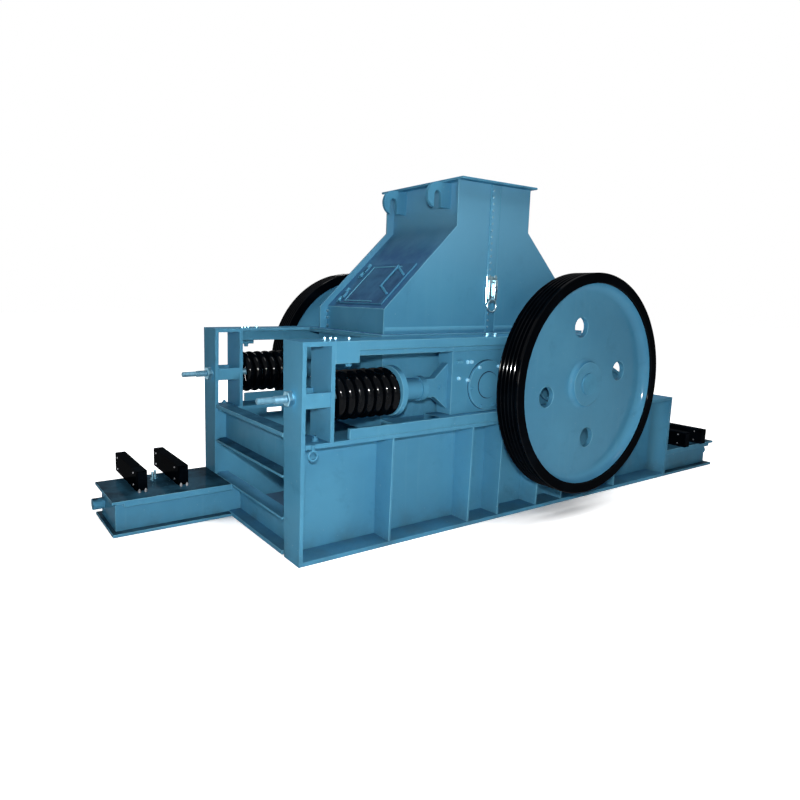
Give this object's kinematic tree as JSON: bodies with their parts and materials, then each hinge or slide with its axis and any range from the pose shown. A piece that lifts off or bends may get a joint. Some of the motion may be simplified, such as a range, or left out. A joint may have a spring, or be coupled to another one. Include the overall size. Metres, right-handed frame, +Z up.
{
  "type": "roll crusher",
  "caption": "Double roll crusher with a welded frame, open feed hopper, spring-held sliding roll, grooved drive sheaves and motor bases.",
  "frame": {"origin": "ground under the middle of the whole machine", "axes": "+X along the frame away from the springs, +Y across to the moving roll's sheave, +Z up"},
  "size_m": [4.21, 1.596, 1.833],
  "materials": {
    "blue_paint": "semi-gloss light blue machine paint",
    "black_paint": "gloss black",
    "bare_steel": "machined"
  },
  "bodies": {
    "frame": {"girder_near": "blue_paint", "girder_far": "blue_paint", "ribs_near": "blue_paint", "ribs_far": "blue_paint", "column_near": "blue_paint", "column_far": "blue_paint", "tail_post_near": "blue_paint", "tail_post_far": "blue_paint", "top_beam_near": "blue_paint", "top_beam_far": "blue_paint", "guide_rail_near": "blue_paint", "guide_rail_far": "blue_paint", "upper_channel": "blue_paint", "lower_channel": "blue_paint", "tail_channel": "blue_paint", "motor_base_left": "blue_paint", "motor_base_right": "blue_paint", "motor_rails_left": "black_paint", "motor_rails_right": "black_paint", "casing": "blue_paint", "hopper": "blue_paint", "hopper_rim": "blue_paint", "lifting_lugs": "blue_paint", "hatch_hinges": "bare_steel", "fixed_bearing_near": "blue_paint", "fixed_bearing_far": "blue_paint", "spring_near": "black_paint", "spring_far": "black_paint"},
    "carriage": {"slide_bearing_near": "blue_paint", "slide_bearing_far": "blue_paint", "thrust_fork_near": "blue_paint", "thrust_fork_far": "blue_paint", "rod_near": "blue_paint", "rod_far": "blue_paint"},
    "slide_roll_set": {"slide_roll": "bare_steel", "slide_shaft": "bare_steel", "far_sheave_rim": "black_paint", "far_sheave_disc": "blue_paint"},
    "fixed_roll_set": {"fixed_roll": "bare_steel", "fixed_shaft": "bare_steel", "near_sheave_rim": "black_paint", "near_sheave_disc": "blue_paint"},
    "hatch_door": {"hatch": "blue_paint"}
  },
  "joints": [
    {"name": "fixed_roll_turn", "type": "hinge", "parent": "frame", "child": "fixed_roll_set", "pos_m": [0.23, 0, 0.745], "axis": [0, 1, 0], "continuous": true},
    {"name": "roll_gap_slide", "type": "slide", "parent": "frame", "child": "carriage", "axis": [-1, 0, 0], "range_m": [0, 0.03], "stiffness_N_per_m": 800000, "deforming": ["spring_near", "spring_far"]},
    {"name": "slide_roll_turn", "type": "hinge", "parent": "carriage", "child": "slide_roll_set", "pos_m": [-0.31, 0, 0.745], "axis": [0, 1, 0], "continuous": true},
    {"name": "hatch_hinge", "type": "hinge", "parent": "frame", "child": "hatch_door", "pos_m": [-0.66094, 0.213, 1.26793], "axis": [-0.726, 0, -0.6877], "range_deg": [0, 100]}
  ]
}
